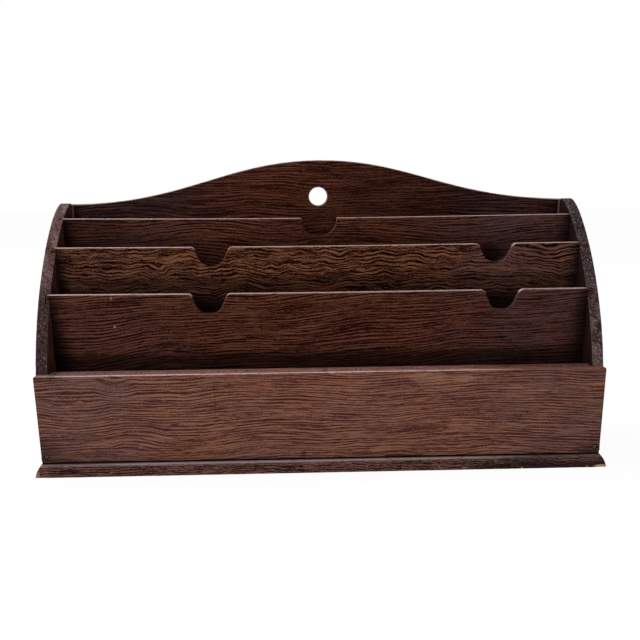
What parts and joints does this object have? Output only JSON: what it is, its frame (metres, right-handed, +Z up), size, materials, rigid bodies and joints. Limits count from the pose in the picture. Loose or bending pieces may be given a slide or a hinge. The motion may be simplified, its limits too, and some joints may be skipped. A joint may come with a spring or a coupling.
{
  "type": "letter holder",
  "caption": "Upright desk rack of dark stained oak for letters, with stepped dividers between curved sides and an arched back.",
  "frame": {"origin": "middle of the base's underside, under the middle of the whole box", "axes": "+X along the rack to its right end, +Y from the front board to the back board, +Z up"},
  "size_m": [0.3636, 0.087, 0.1943],
  "materials": {
    "base_oak": "dark stained and waxed, worn on the arrises",
    "front_oak": "dark stained and waxed, worn on the arrises",
    "side_oak": "dark stained, rough end grain at the curved edge",
    "back_oak": "dark stained and waxed",
    "divider_oak": "dark stained, worn along the top",
    "pin_steel": "dull and darkened"
  },
  "bodies": {
    "root": {"base_board": "base_oak", "front_board": "front_oak", "left_side": "side_oak", "right_side": "side_oak", "back_board": "back_oak", "front_divider": "divider_oak", "middle_divider": "divider_oak", "rear_divider": "divider_oak", "front_board_nails": "pin_steel", "back_board_nails": "pin_steel", "base_nails": "pin_steel"}
  },
  "joints": []
}
